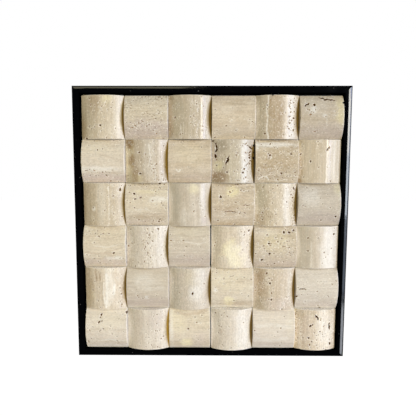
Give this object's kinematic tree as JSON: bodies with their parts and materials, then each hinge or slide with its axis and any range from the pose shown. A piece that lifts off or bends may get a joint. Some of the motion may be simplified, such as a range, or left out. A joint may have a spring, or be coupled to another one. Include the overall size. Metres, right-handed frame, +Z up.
{
  "type": "mosaic wall panel",
  "caption": "Square framed wall panel of small arched travertine tiles set in a basket-weave pattern, inside a slim black lacquered frame with a flat back.",
  "frame": {"origin": "middle of the backing board's back face, where the panel meets the wall", "axes": "+Z up, -Y out of the wall towards the viewer, +Y into the wall, +X to the viewer's right"},
  "size_m": [0.3242, 0.0226, 0.3242],
  "materials": {
    "travertine": "honed and half polished cream travertine, veined, with open pores",
    "frame_lacquer": "black high-gloss lacquer on wood",
    "backing": "bare brown hardboard"
  },
  "bodies": {
    "root": {"tile_row1_column1": "travertine", "tile_row1_column2": "travertine", "tile_row1_column3": "travertine", "tile_row1_column4": "travertine", "tile_row1_column5": "travertine", "tile_row1_column6": "travertine", "tile_row2_column1": "travertine", "tile_row2_column2": "travertine", "tile_row2_column3": "travertine", "tile_row2_column4": "travertine", "tile_row2_column5": "travertine", "tile_row2_column6": "travertine", "tile_row3_column1": "travertine", "tile_row3_column2": "travertine", "tile_row3_column3": "travertine", "tile_row3_column4": "travertine", "tile_row3_column5": "travertine", "tile_row3_column6": "travertine", "tile_row4_column1": "travertine", "tile_row4_column2": "travertine", "tile_row4_column3": "travertine", "tile_row4_column4": "travertine", "tile_row4_column5": "travertine", "tile_row4_column6": "travertine", "tile_row5_column1": "travertine", "tile_row5_column2": "travertine", "tile_row5_column3": "travertine", "tile_row5_column4": "travertine", "tile_row5_column5": "travertine", "tile_row5_column6": "travertine", "tile_row6_column1": "travertine", "tile_row6_column2": "travertine", "tile_row6_column3": "travertine", "tile_row6_column4": "travertine", "tile_row6_column5": "travertine", "tile_row6_column6": "travertine", "frame_rail_top": "frame_lacquer", "frame_rail_right": "frame_lacquer", "frame_rail_bottom": "frame_lacquer", "frame_rail_left": "frame_lacquer", "backing_board": "backing"}
  },
  "joints": []
}
